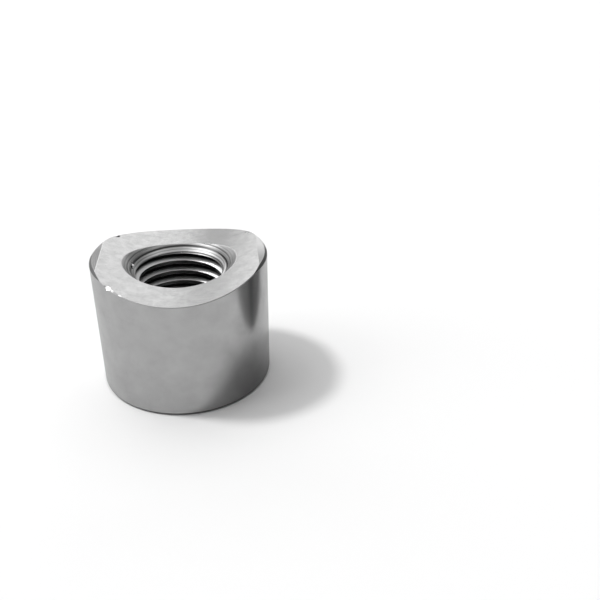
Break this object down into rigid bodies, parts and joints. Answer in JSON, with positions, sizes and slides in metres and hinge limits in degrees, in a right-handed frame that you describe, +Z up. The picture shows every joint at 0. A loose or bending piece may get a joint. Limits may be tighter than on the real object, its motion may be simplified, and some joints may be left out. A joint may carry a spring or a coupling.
{
  "type": "weld bung",
  "caption": "Short round steel boss tapped right through, flat at one end and coped at the other to seat on a round tube for welding.",
  "frame": {"origin": "centre of the flat end, on the thread's axis", "axes": "+Z up the thread's axis from the flat end to the coped end; the tube that the cope fits runs along Y; the two crescents beside the cope lie at +X and -X"},
  "size_m": [0.022, 0.022, 0.017],
  "materials": {
    "turned_steel": "satin"
  },
  "bodies": {
    "root": {"bung": "turned_steel"}
  },
  "joints": []
}
